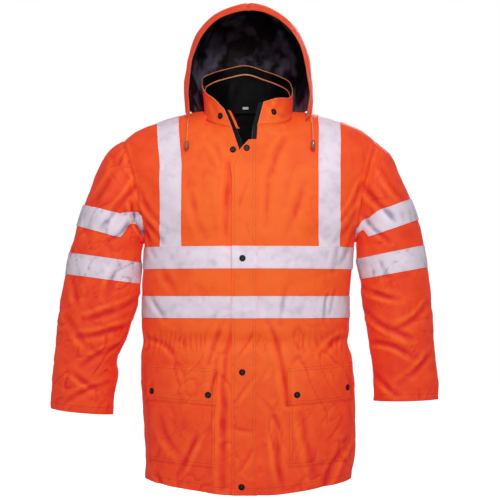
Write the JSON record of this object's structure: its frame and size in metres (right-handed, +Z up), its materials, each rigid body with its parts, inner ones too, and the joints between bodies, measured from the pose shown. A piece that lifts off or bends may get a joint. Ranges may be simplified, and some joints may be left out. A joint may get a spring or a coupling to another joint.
{
  "type": "high-visibility hooded parka",
  "caption": "Worn-shape hooded work parka in high-visibility cloth with reflective bands and braces, storm flap, press studs and patch pockets; hollow, with nobody in it.",
  "frame": {"origin": "middle of the neck, between the shoulders, where the wearer's shoulders carry the garment", "axes": "+Z up, the garment's front faces -Y, +X to the wearer's left"},
  "size_m": [0.9235, 0.3271, 1.1484],
  "materials": {
    "shell": "coated plain-weave polyester, fluorescent orange, soft sheen",
    "lining": "black taffeta lining, slight sheen",
    "reflective": "silver retroreflective tape, fine beaded surface",
    "binding": "orange bias binding and cord",
    "zip": "black woven zip tape",
    "stud": "black enamelled press stud",
    "toggle": "translucent orange-brown moulded plastic",
    "label": "grey woven tab, blank"
  },
  "bodies": {
    "root": {"front_right": "shell", "front_left": "shell", "back": "shell", "sleeve_right": "shell", "sleeve_left": "shell", "collar": "shell", "hood_right": "shell", "hood_left": "shell", "storm_flap": "shell", "zip_guard": "shell", "pocket_right": "shell", "pocket_left": "shell", "pocket_flap_right": "shell", "pocket_flap_left": "shell", "collar_lining": "lining", "back_lining": "lining", "hood_lining_right": "lining", "hood_lining_left": "lining", "band_1_front_right": "reflective", "band_1_front_left": "reflective", "band_1_back": "reflective", "band_1_flap": "reflective", "band_2_front_right": "reflective", "band_2_front_left": "reflective", "band_2_back": "reflective", "band_2_flap": "reflective", "brace_right": "reflective", "brace_left": "reflective", "sleeve_band_1_right": "reflective", "sleeve_band_1_left": "reflective", "sleeve_band_2_right": "reflective", "sleeve_band_2_left": "reflective", "collar_binding": "binding", "drawcord_right": "binding", "drawcord_left": "binding", "zip_tape_right": "zip", "zip_tape_left": "zip", "stud_collar_right": "stud", "stud_collar_left": "stud", "stud_front_socket": "stud", "stud_flap_top": "stud", "stud_flap_chest": "stud", "stud_flap_waist": "stud", "stud_flap_hem": "stud", "stud_pocket_right_outer": "stud", "stud_pocket_right_inner": "stud", "stud_pocket_left_inner": "stud", "stud_pocket_left_outer": "stud", "toggle_right": "toggle", "toggle_left": "toggle", "label": "label"}
  },
  "joints": []
}
